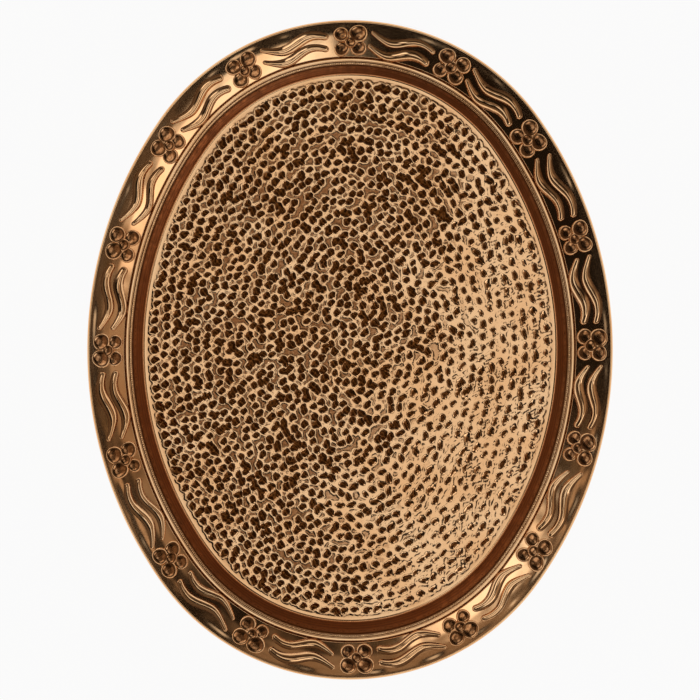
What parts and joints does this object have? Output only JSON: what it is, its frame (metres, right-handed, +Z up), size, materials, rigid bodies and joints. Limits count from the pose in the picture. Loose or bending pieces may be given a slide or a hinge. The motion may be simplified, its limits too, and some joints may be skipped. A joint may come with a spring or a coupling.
{
  "type": "hammered metal tray",
  "caption": "Oval hammered copper serving tray with a punched floor, an embossed border of flowers and waves, and an edge rolled over a stiffening wire.",
  "frame": {"origin": "middle of the tray's base, on the surface it rests on", "axes": "+Y along the tray's length, +X across its width, +Z up out of the open top"},
  "size_m": [0.262, 0.33, 0.018],
  "materials": {
    "copper_sheet": "hammered copper, patinated dark in the hollows and polished on the ridges",
    "copper_wire": "drawn copper wire, dull"
  },
  "bodies": {
    "root": {"tray_pan": "copper_sheet", "edge_wire": "copper_wire"}
  },
  "joints": []
}
